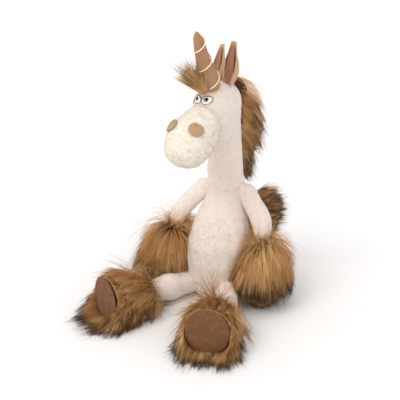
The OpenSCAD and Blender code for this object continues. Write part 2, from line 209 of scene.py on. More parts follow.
def points(obj):
    co = np.empty(len(obj.data.vertices) * 3)
    obj.data.vertices.foreach_get("co", co)
    return co.reshape(-1, 3)


def move_points(obj, co):
    obj.data.vertices.foreach_set("co", np.ascontiguousarray(co, dtype=np.float64).ravel())
    obj.data.update()


def normals(obj):
    no = np.empty(len(obj.data.vertices) * 3)
    obj.data.vertices.foreach_get("normal", no)
    return no.reshape(-1, 3)


def unit(v):
    return v / np.maximum(np.linalg.norm(v, axis=-1, keepdims=True), 1e-9)


def smooth_step(x):
    x = np.clip(x, 0, 1)
    return x * x * (3 - 2 * x)


def copy_nodes(name, *nodes):
    """A new object holding the merged meshes of CAD nodes."""
    parts = []
    for node in nodes:
        part = bpy.data.objects.new(name, frame["nodes"][node].data.copy())
        bpy.context.scene.collection.objects.link(part)
        parts.append(part)
    only(*parts)
    if len(parts) > 1:
        bpy.ops.object.join()
    obj = bpy.context.view_layer.objects.active
    obj.name = obj.data.name = name
    obj.data.materials.clear()
    bpy.ops.object.mode_set(mode="EDIT")
    bpy.ops.mesh.select_all(action="SELECT")
    bpy.ops.mesh.remove_doubles(threshold=1e-6)
    bpy.ops.object.mode_set(mode="OBJECT")
    return obj


def add_rod(obj, start, end, radius):
    """Joins a round plug from start to end to an object, for the remesh to melt in."""
    start, end = Vector(start), Vector(end)
    along = end - start
    bpy.ops.object.select_all(action="DESELECT")
    bpy.ops.mesh.primitive_cylinder_add(
        vertices=28, radius=radius, depth=along.length, location=(start + end) / 2,
        rotation=along.to_track_quat("Z", "Y").to_euler())
    only(obj, bpy.context.view_layer.objects.active)
    bpy.ops.object.join()


def remesh(obj, voxel, rounds):
    """Melts an object into one even skin and smooths its corners."""
    modify(obj, "Even cloth", "REMESH", mode="VOXEL", voxel_size=voxel, use_smooth_shade=True)
    modify(obj, "Soft corners", "SMOOTH", factor=0.5, iterations=rounds)
    apply_all(obj)


def cut(obj, place, direction):
    """Cuts away what lies ahead of a plane and closes the cut."""
    only(obj)
    bpy.ops.object.mode_set(mode="EDIT")
    bpy.ops.mesh.select_all(action="SELECT")
    bpy.ops.mesh.bisect(plane_co=place, plane_no=direction, use_fill=True, clear_outer=True)
    bpy.ops.object.mode_set(mode="OBJECT")


def swell(pads, frames=16):
    """Fills the pads: the filling presses each one's cloth out, as far as its room lets it.

    pads is a list of (object, room), room being the travel allowed at each point in metres."""
    before = {obj.name: points(obj) for obj, _ in pads}
    for obj, _ in pads:
        cloth = obj.modifiers.new("Filling", "CLOTH")
        cloth.settings.quality = 4
        cloth.settings.use_pressure = True
        cloth.settings.uniform_pressure_force = 4
        cloth.settings.effector_weights.gravity = 0
        cloth.collision_settings.use_collision = False
    for number in range(1, frames + 1):
        bpy.context.scene.frame_set(number)
    for obj, _ in pads:
        apply_all(obj)
    bpy.context.scene.frame_set(1)
    for obj, room in pads:
        old = before[obj.name]
        travel = points(obj) - old
        far = np.maximum(np.linalg.norm(travel, axis=1), 1e-9)
        move_points(obj, old + travel * np.minimum(1, room / far)[:, None])


def finish_pad(obj, rounds=2, levels=1):
    """Evens the cloth and subdivides it."""
    modify(obj, "Even", "SMOOTH", factor=0.4, iterations=rounds)
    if levels:
        soften(obj, "Fine", levels)
    apply_all(obj)
    shade(obj)


def press(obj, depth):
    """Moves each point along its normal by depth(points), in metres."""
    co = points(obj)
    move_points(obj, co + normals(obj) * np.asarray(depth(co))[:, None])


def waves(co, seed, size, stretch=(1, 1, 1)):
    """Gentle uneven lumps from about -1 to 1, about size metres apart."""
    count = 9
    rng = np.random.default_rng(seed)
    out = np.zeros(len(co))
    for _ in range(count):
        k = (unit(rng.normal(size=3)) * np.array(stretch) * (2 * math.pi / size)
             * rng.uniform(0.6, 1.5))
        out += np.sin(co @ k + rng.uniform(0, 6.28))
    return out / math.sqrt(count * 1.5)


def clear_of(obj, nodes, least, keep=None):
    """Eases the cloth out wherever it is nearer than least to the filling inside it.

    keep(points) says which points may move."""
    trees = []
    for node in nodes:
        mesh = bmesh.new()
        mesh.from_mesh(frame["nodes"][node].data)
        bmesh.ops.remove_doubles(mesh, verts=mesh.verts, dist=1e-6)
        trees.append(BVHTree.FromBMesh(mesh))
        mesh.free()
    co, out = points(obj), normals(obj)
    push = np.zeros(len(co))
    for i, p in enumerate(co):
        p = Vector(p)
        for tree in trees:
            spot, normal, _, far = tree.find_nearest(p, 4 * MM)
            if spot is not None:
                inside = (p - spot).dot(normal) < -0.25 * far
                push[i] = max(push[i], least + far if inside else least - far)
    if keep is not None:
        push *= keep(co)
    a, b = np.array([edge.vertices for edge in obj.data.edges]).T
    count = np.bincount(np.concatenate([a, b]), minlength=len(co)).clip(1)
    for _ in range(5):
        around = np.bincount(a, push[b], len(co)) + np.bincount(b, push[a], len(co))
        push = np.maximum(push, 0.9 * around / count)
    move_points(obj, co + out * push[:, None])


def surface(obj):
    """A search tree of an object's faces, for laying things on it."""
    mesh = bmesh.new()
    mesh.from_mesh(obj.data)
    tree = BVHTree.FromBMesh(mesh)
    mesh.free()
    return tree


# ---- finishes ----

def nodes_of(name):
    mat = bpy.data.materials.new(name)
    mat.use_nodes = True
    return mat, mat.node_tree.nodes, mat.node_tree.links, mat.node_tree.nodes["Principled BSDF"]


def math_node(nodes, links, operation, *values):
    """A Math node's result. Each value is a number or another node's output."""
    node = nodes.new("ShaderNodeMath")
    node.operation = operation
    for socket, value in zip(node.inputs, values):
        if isinstance(value, float):
            socket.default_value = value
        else:
            links.new(value, socket)
    return node.outputs[0]


def grain(nodes, links, coords, scale, detail=4.0, stretch=(1, 1, 1)):
    place = nodes.new("ShaderNodeMapping")
    place.inputs["Scale"].default_value = stretch
    noise = nodes.new("ShaderNodeTexNoise")
    noise.inputs["Scale"].default_value = scale
    noise.inputs["Detail"].default_value = detail
    noise.inputs["Roughness"].default_value = 0.62
    links.new(coords.outputs["Object"], place.inputs["Vector"])
    links.new(place.outputs["Vector"], noise.inputs["Vector"])
    return noise.outputs["Fac"]


def cloth_finish(name, base, spread=0.16, size=3 * MM, nap=0.7 * MM, depth=0.35 * MM,
                 rib=None, rough=0.92, sheen=0.25):
    """A woven or brushed cloth: blotches of size, a nap of fine grain, and ribs if given."""
    mat, nodes, links, shader = nodes_of(name)
    coords = nodes.new("ShaderNodeTexCoord")
    blotch = grain(nodes, links, coords, 1 / size)
    fuzz = grain(nodes, links, coords, 1 / nap, detail=2)
    ramp = nodes.new("ShaderNodeValToRGB")
    dark = [c * (1 - spread) * warmth for c, warmth in zip(base, (1.0, 0.96, 0.92))]
    pale = [min(1, c * (1 + spread * 0.45)) for c in base]
    for element, place, tone in zip(ramp.color_ramp.elements, (0.28, 0.66), (dark, pale)):
        element.position = place
        element.color = (*tone, 1)
    blotch = math_node(nodes, links, "MULTIPLY", blotch, 0.55)
    links.new(math_node(nodes, links, "MULTIPLY_ADD", fuzz, 0.45, blotch), ramp.inputs["Fac"])
    links.new(ramp.outputs["Color"], shader.inputs["Base Color"])
    height = fuzz
    if rib:
        ribs = grain(nodes, links, coords, 1 / rib[0], detail=3, stretch=rib[1])
        height = math_node(nodes, links, "ADD", fuzz, ribs)
    bump = nodes.new("ShaderNodeBump")
    bump.inputs["Strength"].default_value = 0.7
    bump.inputs["Distance"].default_value = depth
    links.new(height, bump.inputs["Height"])
    links.new(bump.outputs["Normal"], shader.inputs["Normal"])
    shader.inputs["Roughness"].default_value = rough
    shader.inputs["Specular IOR Level"].default_value = 0.2
    shader.inputs["Sheen Weight"].default_value = sheen
    shader.inputs["Sheen Roughness"].default_value = 0.5
    return mat


def fur_finish(name, root, middle, light, tip, rough=0.55):
    """Hair: the hair attribute holds place along it, its paleness and how dark its tip is."""
    mat, nodes, links, shader = nodes_of(name)
    facts = nodes.new("ShaderNodeAttribute")
    facts.attribute_name = "hair"
    split = nodes.new("ShaderNodeSeparateColor")
    links.new(facts.outputs["Color"], split.inputs["Color"])

    def mix(fac, a, b):
        node = nodes.new("ShaderNodeMix")
        node.data_type = "RGBA"
        links.new(fac, node.inputs["Factor"])
        for socket, value in ((node.inputs[6], a), (node.inputs[7], b)):
            if isinstance(value, tuple):
                socket.default_value = (*value, 1)
            else:
                links.new(value, socket)
        return node.outputs[2]

    def steps(fac, low, high):
        node = nodes.new("ShaderNodeMapRange")
        node.interpolation_type = "SMOOTHSTEP"
        node.inputs["From Min"].default_value = low
        node.inputs["From Max"].default_value = high
        links.new(fac, node.inputs["Value"])
        return node.outputs["Result"]

    along, pale, dark = split.outputs[0], split.outputs[1], split.outputs[2]
    body = mix(pale, tuple(middle), tuple(light))
    rooted = mix(steps(along, 0.0, 0.50), tuple(root), body)
    tipped = math_node(nodes, links, "MULTIPLY", steps(along, 0.52, 0.80), dark)
    links.new(mix(tipped, rooted, tuple(tip)), shader.inputs["Base Color"])
    shader.inputs["Roughness"].default_value = rough
    shader.inputs["Specular IOR Level"].default_value = 0.35
    return mat


def plain_finish(name, base, rough, sheen=0.0, spread=0.12):
    """A smooth cloth or thread, hardly grained."""
    return cloth_finish(name, base, spread=spread, size=1.5 * MM, nap=0.4 * MM, depth=0.08 * MM,
                        rough=rough, sheen=sheen)


def dress(obj, mat, body=None):
    obj.data.materials.clear()
    obj.data.materials.append(mat)
    if body:
        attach(obj, body)


def sewn(obj, mat, slot, body, fill, *nodes):
    """Dresses a filled skin that takes the place of CAD nodes."""
    dress(obj, mat, body)
    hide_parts(*nodes)


def settings():
    scene = bpy.context.scene
    return scene.unicorn_cloth, scene.unicorn_fur, scene.unicorn_face, scene.unicorn_stage


def material(name):
    """The named finish, made the first time it is asked for."""
    if name in bpy.data.materials:
        return bpy.data.materials[name]
    cloth, fur, _, _ = settings()
    makers = {
        "Body plush": lambda n: cloth_finish(
            n, cloth.body, spread=0.13, size=7 * MM, nap=1.1 * MM, depth=0.8 * MM,
            rib=(2.6 * MM, (0.30, 0.30, 1.7)), sheen=0.3),
        "Curly plush": lambda n: cloth_finish(
            n, cloth.curly, spread=0.08, size=4 * MM, nap=1.6 * MM, depth=0.6 * MM),
        "Horn suede": lambda n: cloth_finish(n, cloth.horn, spread=0.34, size=1.8 * MM, nap=0.8 * MM,
                                             depth=0.4 * MM, sheen=0.1),
        "Ear suede": lambda n: cloth_finish(n, cloth.ear, spread=0.20, size=2.5 * MM, sheen=0.1),
        "Ear lining": lambda n: cloth_finish(n, cloth.lining, spread=0.25, size=2.5 * MM,
                                             sheen=0.05),
        "Nostril suede": lambda n: cloth_finish(n, cloth.nostril, spread=0.42, size=1.6 * MM,
                                                sheen=0.1),
        "Sole suede": lambda n: cloth_finish(n, cloth.sole, spread=0.45, size=6 * MM, nap=0.8 * MM,
                                             sheen=0.05),
        "Horn cord": lambda n: plain_finish(n, cloth.cord, rough=0.38, sheen=0.2),
        "Eye cloth": lambda n: plain_finish(n, (0.86, 0.83, 0.79), rough=0.8, spread=0.05),
        "Black thread": lambda n: plain_finish(n, (0.012, 0.011, 0.011), rough=0.5),
        "Fur backing": lambda n: cloth_finish(n, [c * 0.75 for c in fur.root], spread=0.4),
        "Fibre filling": lambda n: cloth_finish(n, (0.84, 0.80, 0.76), spread=0.10, size=5 * MM),
        "Bean filling": lambda n: cloth_finish(n, (0.60, 0.52, 0.40), spread=0.25, size=3 * MM),
        "Long fur": lambda n: fur_finish(n, fur.root, fur.middle, fur.light, fur.tip),
        "Curly pile": lambda n: fur_finish(
            n, [c * 0.95 for c in cloth.curly], cloth.curly,
            [min(1, c * 1.08) for c in cloth.curly], cloth.curly, rough=0.85),
    }
    return makers[name](name)


# ---- hair ----

def scatter(obj, count, rng, weight=None):
    """Random points on an object's faces, with the smooth normals there."""
    mesh = obj.data
    mesh.calc_loop_triangles()
    tri = np.empty(len(mesh.loop_triangles) * 3, dtype=np.int32)
    mesh.loop_triangles.foreach_get("vertices", tri)
    tri = tri.reshape(-1, 3)
    co, no = points(obj), normals(obj)
    a, b, c = co[tri[:, 0]], co[tri[:, 1]], co[tri[:, 2]]
    area = np.linalg.norm(np.cross(b - a, c - a), axis=1)
    if weight is not None:
        area = area * np.maximum(weight((a + b + c) / 3), 0)
    pick = rng.choice(len(tri), size=count, p=area / area.sum())
    s, t = rng.random(count), rng.random(count)
    fold = s + t > 1
    s[fold], t[fold] = 1 - s[fold], 1 - t[fold]
    mix = np.stack([1 - s - t, s, t], axis=1)[:, :, None]
    return (co[tri[pick]] * mix).sum(axis=1), unit((no[tri[pick]] * mix).sum(axis=1))


def comb(roots, start, pull, length, steps, curl, rng, core=None, floor=None):
    """Grows each hair from its root: it sets off along start and turns towards pull.

    core is (a, b, radius), a limb that hair keeps outside of, radius being a function of the
    share from a to b. floor is the least height of each hair."""
    path = [roots.copy()]
    heading = unit(start)
    step = (length / steps)[:, None]
    twist = unit(rng.normal(size=roots.shape))
    for i in range(steps):
        heading = unit(heading + pull / steps * 3 + curl * twist * math.sin(1.3 + 2.1 * i))
        spot = path[-1] + heading * step
        if core is not None:
            a, b, radius = core
            along = np.clip(((spot - a) @ (b - a)) / np.dot(b - a, b - a), 0, 1)
            centre = a + along[:, None] * (b - a)
            out = spot - centre
            far = np.linalg.norm(out, axis=1, keepdims=True)
            least = radius(along)[:, None]
            spot = np.where(far < least, centre + out / np.maximum(far, 1e-9) * least, spot)
        if floor is not None:
            spot[:, 2] = np.maximum(spot[:, 2], floor)
        path.append(spot)
    return np.stack(path, axis=1)


def clump(path, roots, centres, centre_path, pull):
    """Draws the hairs of one lock together towards their tips."""
    tree = KDTree(len(centres))
    for i, c in enumerate(centres):
        tree.insert(c, i)
    tree.balance()
    lock = np.array([tree.find(r)[1] for r in roots])
    t = np.linspace(0, 1, path.shape[1]) ** 1.4
    w = (t[None, :] * pull[:, None])[:, :, None]
    own = path * (1 - w) + centre_path[lock] * w
    return own, lock


def hair_mesh(name, path, width, pale, dark, bare=0.0):
    """One mesh of closed three-sided tapering hairs along the paths.

    bare is the share of the dark root that is left off."""
    n, k = path.shape[0], path.shape[1] - 1
    along = np.linspace(0, 1, k + 1)
    tangent = unit(np.gradient(path, axis=1))
    ref = unit(np.cross(tangent[:, :1], np.array([0.31, 0.22, 0.93])))
    side = unit(ref - (ref * tangent).sum(axis=2, keepdims=True) * tangent)
    up = np.cross(tangent, side)
    taper = (1 - 0.75 * along[:k] ** 2)
    rings = []
    for j in range(3):
        angle = 2 * math.pi * j / 3
        off = math.cos(angle) * side[:, :k] + math.sin(angle) * up[:, :k]
        rings.append(path[:, :k] + off * (width[:, None] / 2 * taper)[:, :, None])
    body = np.stack(rings, axis=2).reshape(n, 3 * k, 3)
    co = np.concatenate([body, path[:, k:]], axis=1)
    faces, sizes = [], []
    for i in range(k - 1):
        for j in range(3):
            m = (j + 1) % 3
            faces += [3 * i + j, 3 * i + m, 3 * i + 3 + m, 3 * i + 3 + j]
            sizes.append(4)
    for j in range(3):
        faces += [3 * (k - 1) + j, 3 * (k - 1) + (j + 1) % 3, 3 * k]
        sizes.append(3)
    faces += [2, 1, 0]
    sizes.append(3)
    faces, sizes = np.array(faces), np.array(sizes)
    per = 3 * k + 1
    index = (faces[None, :] + per * np.arange(n)[:, None]).ravel()
    starts = np.concatenate([[0], np.cumsum(np.tile(sizes, n))[:-1]])
    mesh = bpy.data.meshes.new(name)
    mesh.vertices.add(n * per)
    mesh.vertices.foreach_set("co", co.ravel())
    mesh.loops.add(len(index))
    mesh.loops.foreach_set("vertex_index", index.astype(np.int32))
    mesh.polygons.add(n * len(sizes))
    mesh.polygons.foreach_set("loop_start", starts.astype(np.int32))
    mesh.update(calc_edges=True)
    mesh.validate()
    facts = np.empty((n, per, 4))
    facts[:, :3 * k, 0] = bare + (1 - bare) * np.repeat(along[:k], 3)[None, :]
    facts[:, 3 * k, 0] = 1
    facts[:, :, 1] = pale[:, None]
    facts[:, :, 2] = dark[:, None]
    facts[:, :, 3] = 1
    layer = mesh.color_attributes.new("hair", "FLOAT_COLOR", "POINT")
    layer.data.foreach_set("color", facts.ravel())
    mesh.polygons.foreach_set("use_smooth", np.ones(n * len(sizes), dtype=bool))
    obj = bpy.data.objects.new(name, mesh)
    bpy.context.scene.collection.objects.link(obj)
    return obj


def within_room(path):
    """Shortens the hairs that would leave the room allowed round the frame."""
    low, high = (np.array(corner) for corner in CAD_BOX)
    room = 9 * MM + 0.027 * (high - low)
    root = path[:, 0]
    most = np.maximum(path.max(axis=1) - root, 1e-9)
    least = np.minimum(path.min(axis=1) - root, -1e-9)
    keep = np.minimum((high + room - root) / most, (low - room - root) / least).min(axis=1)
    return root[:, None] + (path - root[:, None]) * np.clip(keep, 0.05, 1)[:, None, None]


def locks(name, skin, body, count, seed, start, pull, length, *, clumps=150, tight=0.75,
          weight=None, steps=4, core=None, floor=None, tips, tone=0.35, guard=0.16,
          guard_length=1.35, place=None, bare):
    """Long fur on a skin, drawn into locks. start, pull, length and tips take the roots' places.

    tight is how close a lock's hairs are drawn, guard the share of loose longer hairs, tone how
    pale the hair is, place moves the roots, and bare is the share of the dark root left off."""
    _, fur, _, _ = settings()
    rng = np.random.default_rng(seed)
    roots, out = scatter(skin, count + clumps, rng, weight)
    loose = rng.random(len(roots)) < guard
    loose[:clumps] = False
    if place is not None:
        roots = place(roots)
    strong = (length(roots, out) * rng.uniform(0.72, 1.12, len(roots))
              * np.where(loose, guard_length, 1))
    base = start(roots, out)
    base = unit(base + 0.16 * rng.normal(size=base.shape))
    want = np.broadcast_to(pull(roots, out), roots.shape)
    low = None
    if floor is not None:
        low = floor + rng.random(len(roots)) ** 2 * 5 * MM
    path = comb(roots, base, want, strong, steps, 0.10, rng, core, low)
    centres, centre_path = roots[:clumps], path[:clumps]
    hold = tight * rng.uniform(0.6, 1.1, count) * np.clip(strong[clumps:] / (20 * MM), 0.1, 1)
    hairs, lock = clump(path[clumps:], roots[clumps:], centres, centre_path,
                        hold * np.where(loose[clumps:], 0.2, 1))
    hairs = within_room(hairs)
    lock_tone, lock_dark = rng.random(clumps), rng.random(clumps)
    pale = np.clip(0.95 * lock_tone[lock] + 0.6 * rng.random(count) - 0.55 + tone * 0.6, 0, 1)
    dark = tips(roots[clumps:])
    draw = 0.6 * lock_dark[lock] + 0.4 * rng.random(count) - np.where(loose[clumps:], 0.45, 0)
    dark = (draw < dark) * rng.uniform(0.8, 1, count)
    wide = fur.thickness * rng.uniform(0.7, 1.2, count) * np.where(loose[clumps:], 0.6, 1)
    obj = hair_mesh(name, hairs, wide, pale, dark, bare)
    dress(obj, material("Long fur"), body)
    return obj


# ---- the toy's own pieces ----

PADS = {}   # the finished skins that other pieces are laid on


class UNICORN_OT_body(bpy.types.Operator):
    """Sews and fills the torso, neck, head, muzzle, arms and legs"""
    bl_idname = "unicorn.body"
    bl_label = "Stuffed body"

    def execute(self, context):
        cloth = settings()[0]
        torso = copy_nodes("torso_skin", "torso_stuffing", "seat_bean_pouch", "neck_stuffing")
        add_rod(torso, NECK_FOOT - NECK_DIR * 25 * MM, NECK_FOOT + NECK_DIR * 30 * MM, 22.5 * MM)
        remesh(torso, TORSO_VOXEL, 14)
        cut(torso, NECK_SEAM + NECK_DIR * SEAM_LAP * MM, NECK_DIR)
        remesh(torso, TORSO_VOXEL, 1)

        head = copy_nodes("head_skin", "head_stuffing", "neck_stuffing")
        add_rod(head, NECK_TOP - NECK_DIR * 15 * MM, NECK_TOP + UP * 15 * MM, 19 * MM)
        remesh(head, HEAD_VOXEL, 8)
        cut(head, NECK_SEAM - NECK_DIR * SEAM_LAP * MM, -NECK_DIR)
        remesh(head, HEAD_VOXEL, 1)

        muzzle = copy_nodes("muzzle_skin", "muzzle_stuffing")
        remesh(muzzle, HEAD_VOXEL, 6)

        pads = [(obj, np.full(len(obj.data.vertices), cloth.swell * share))
                for obj, share in ((torso, 1), (head, 1), (muzzle, 1.15))]
        limbs = []
        for side, sign in SIDES:
            shoulder = PIVOT["shoulder_" + side]
            arm = copy_nodes(f"sleeve_{side}", "arm_stuffing_" + side)
            add_rod(arm, shoulder + Vector((0, -2, -3)) * MM,
                    (sign * 12 * MM, shoulder.y - 1 * MM, shoulder.z + 3 * MM), 11 * MM)
            wrist = PIVOT["wrist_" + side]
            add_rod(arm, shoulder + Vector((sign * -9, -2, -3)) * MM,
                    shoulder.lerp(wrist, 0.62) + Vector((sign * -3, 0, 0)) * MM, 9 * MM)
            remesh(arm, 3 * MM, 9)
            limbs.append((arm, shoulder, "arm_" + side))
            hip = PIVOT["hip_" + side]
            leg = copy_nodes(f"thigh_{side}", "leg_beans_" + side)
            way = heading_of(side)
            add_rod(leg, hip + way * 6 * MM, hip + way * -1 * 26 * MM, 15 * MM)
            remesh(leg, 3.5 * MM, 5)
            limbs.append((leg, hip, "leg_" + side))
            for limb in (arm, leg):
                pads.append((limb, np.full(len(limb.data.vertices), cloth.swell)))
        swell(pads)

        inside = {torso: ("torso_stuffing", "seat_bean_pouch", "neck_stuffing"),
                  head: ("head_stuffing", "neck_stuffing"), muzzle: ("muzzle_stuffing",)}
        for limb, _, body in limbs:
            part, side = body.split("_")
            inside[limb] = (("arm_stuffing_" if part == "arm" else "leg_beans_") + side,)
        ends = {torso: lambda co: neck_height(co) < 4 * MM,
                head: lambda co: neck_height(co) > -4 * MM}
        for obj, _ in pads:
            clear_of(obj, inside[obj], 1.5 * MM, ends.get(obj))
        press(torso, lambda co: body_lumps(co, 1) - chest_seam(co))
        press(head, lambda co: body_lumps(co, 2))
        for obj, way in ((torso, 1), (head, -1)):
            press(obj, lambda co: -SEAM_DEPTH * smooth_step((way * neck_height(co) - MM) / (8 * MM)))
        press(muzzle, lambda co: 0.5 * MM * waves(co, 5, 22 * MM) - muzzle_seam(co))
        for obj, _ in pads:
            finish_pad(obj)
            clear_of(obj, inside[obj], 0.6 * MM, ends.get(obj))
        plush = material("Body plush")
        for obj in (torso, head):
            dress(obj, plush)
        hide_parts("torso_cover")
        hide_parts("neck_cover", "head_cover")
        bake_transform(torso)
        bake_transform(head)
        sewn(muzzle, material("Curly plush"), "curly_plush", "head", 0.85, "muzzle_cover")
        for limb, pivot, body in limbs:
            dress(limb, plush)
            side = body.split("_")[1]
            if body.startswith("arm"):
                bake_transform(limb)
                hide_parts("arm_sleeve_" + side)
            else:
                way = heading_of(side)
                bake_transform(limb)
                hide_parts("leg_cover_" + side)
        PADS.update(torso=torso, head=head, muzzle=muzzle)
        return {"FINISHED"}


def heading_of(side):
    """The way a leg points, level."""
    axis = AXIS["hip_" + side]
    return Vector((-axis.y, axis.x, 0)).normalized()


def body_lumps(co, seed):
    """Soft lumps of the filling and level creases in the cloth."""
    lumps = 0.5 * MM * waves(co, seed, 34 * MM)
    creases = 0.35 * MM * waves(co, seed + 10, 9 * MM, stretch=(0.25, 0.25, 1.0))
    return lumps + creases


def neck_height(co):
    """Height above the neck's seam, along the neck."""
    return (co - np.array(NECK_SEAM)) @ np.array(NECK_DIR)


def chest_seam(co):
    """A shallow groove down the middle of the chest."""
    return SEAM_DEPTH * np.exp(-(co[:, 0] / (2.0 * MM)) ** 2) * (co[:, 1] < NECK_FOOT.y)


def muzzle_seam(co):
    """A shallow groove down the middle of the nose."""
    off = (co - np.array(NECK_TOP)) @ np.array(HEAD_SIDE)
    return 0.9 * MM * np.exp(-(off / (1.6 * MM)) ** 2)


class UNICORN_OT_pile(bpy.types.Operator):
    """Lays the belly panel on the torso and grows the curly pile on it and on the muzzle"""
    bl_idname = "unicorn.pile"
    bl_label = "Belly panel and curly pile"

    def execute(self, context):
        fur = settings()[1]
        torso, muzzle = PADS["torso"], PADS["muzzle"]
        low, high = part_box("belly_panel")
        middle = (low + high) / 2
        half = (high - low) / 2 - Vector((0.2, 0, 0.2)) * MM

        def inside(co):
            return 1 - np.hypot((co[:, 0] - middle.x) / half.x, (co[:, 2] - middle.z) / half.z)

        belly = bpy.data.objects.new("belly_skin", torso.data.copy())
        context.scene.collection.objects.link(belly)
        belly.vertex_groups.clear()
        co = points(belly)
        pick(belly, "VERT", (inside(co) < 0) | (co[:, 1] > middle.y + 0.6 * half.y))
        bpy.ops.mesh.delete(type="VERT")
        bpy.ops.object.mode_set(mode="OBJECT")
        press(belly, lambda p: 0.6 * MM * smooth_step(inside(p) / 0.3) - 0.1 * MM)
        modify(belly, "Cloth", "SOLIDIFY", thickness=1.0 * MM, offset=-1)
        apply_all(belly)
        dress(belly, material("Body plush"), "torso")
        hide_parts("belly_panel")

        rng = np.random.default_rng(7)
        for skin, body, count, keep in (
                (belly, "torso", 8600, lambda c: smooth_step(inside(c) / 0.30)),
                (muzzle, "head", 8600, None)):
            roots, out = scatter(skin, count, rng, keep)
            if skin is belly:
                out = unit(out * np.where(out[:, 1:2] > 0.3, -1, 1))
            lean = unit(out + 0.75 * rng.normal(size=out.shape) + np.array([0, 0, -0.5]))
            path = comb(roots, lean, np.array([0, 0, -0.25]) + 0.6 * rng.normal(size=out.shape),
                        fur.pile * rng.uniform(0.6, 1.3, count), 3, 0.5, rng)
            pile = hair_mesh(skin.name.replace("_skin", "_pile"), path,
                             0.34 * MM * rng.uniform(0.7, 1.2, count),
                             rng.random(count), np.zeros(count))
            dress(pile, material("Curly pile"), body)
        return {"FINISHED"}


def lay_on(target, place, obj):
    """Bends a small flat pad onto a surface.

    place turns the pad's own axes, z outwards, into the toy's."""
    tree = surface(target)
    out = place.to_3x3() @ UP
    co = points(obj)
    new = []
    for a, b, c in co:
        spot, normal, _, _ = tree.ray_cast(place @ Vector((a, b, 40 * MM)), -out)
        if spot is None:
            spot, normal, _, _ = tree.find_nearest(place @ Vector((a, b, 0)))
        new.append(spot + normal * c)
    move_points(obj, np.array(new))


def facing(spot, out):
    """A placing matrix: z along out, y as near up as it can be."""
    z = out.normalized()
    x = UP.cross(z).normalized()
    y = z.cross(x)
    turn = Matrix((x, y, z)).transposed().to_4x4()
    return Matrix.Translation(spot) @ turn


def pad(name, target, place, width, height, thick, lift=0.0, centre=(0, 0), rings=10, pinch=None):
    """A thin oval lens of cloth lying on a surface."""
    bpy.ops.object.select_all(action="DESELECT")
    bpy.ops.mesh.primitive_uv_sphere_add(segments=28, ring_count=rings, radius=1)
    obj = bpy.context.view_layer.objects.active
    co = points(obj)
    flat = np.sign(co[:, 2]) * np.abs(co[:, 2]) ** 0.7
    co = np.stack([co[:, 0] * width / 2 + centre[0], co[:, 1] * height / 2 + centre[1],
                   flat * thick / 2 + lift], axis=1)
    if pinch is not None:
        co[:, 2] -= pinch(co)
    move_points(obj, co)
    lay_on(target, place, obj)
    obj.name = obj.data.name = name
    shade(obj)
    return obj


def thread(name, target, place, route, thick, lift):
    """A stitched line of thread lying on a surface along a route of (across, up) points."""
    tree = surface(target)
    out = place.to_3x3() @ UP
    path = []
    for a, b in route:
        spot, normal, _, _ = tree.ray_cast(place @ Vector((a, b, 40 * MM)), -out)
        if spot is not None:
            path.append(spot + normal * lift)
    line = bpy.data.curves.new(name, "CURVE")
    line.dimensions = "3D"
    line.bevel_depth = thick / 2
    line.bevel_resolution = 2
    line.use_fill_caps = True
    spline = line.splines.new("POLY")
    spline.points.add(len(path) - 1)
    for point, spot in zip(spline.points, path):
        point.co = (*spot, 1)
    obj = bpy.data.objects.new(name, line)
    bpy.context.scene.collection.objects.link(obj)
    only(obj)
    bpy.ops.object.convert(target="MESH")
    return bpy.context.view_layer.objects.active


def oval(width, height, start, turn, count=40):
    """Points on an oval from the start angle on, in degrees."""
    angles = [math.radians(start + turn * i / count) for i in range(count + 1)]
    return [(width / 2 * math.cos(angle), height / 2 * math.sin(angle)) for angle in angles]


def join(name, objs):
    only(*objs)
    bpy.ops.object.join()
    obj = bpy.context.view_layer.objects.active
    obj.name = obj.data.name = name
    return obj


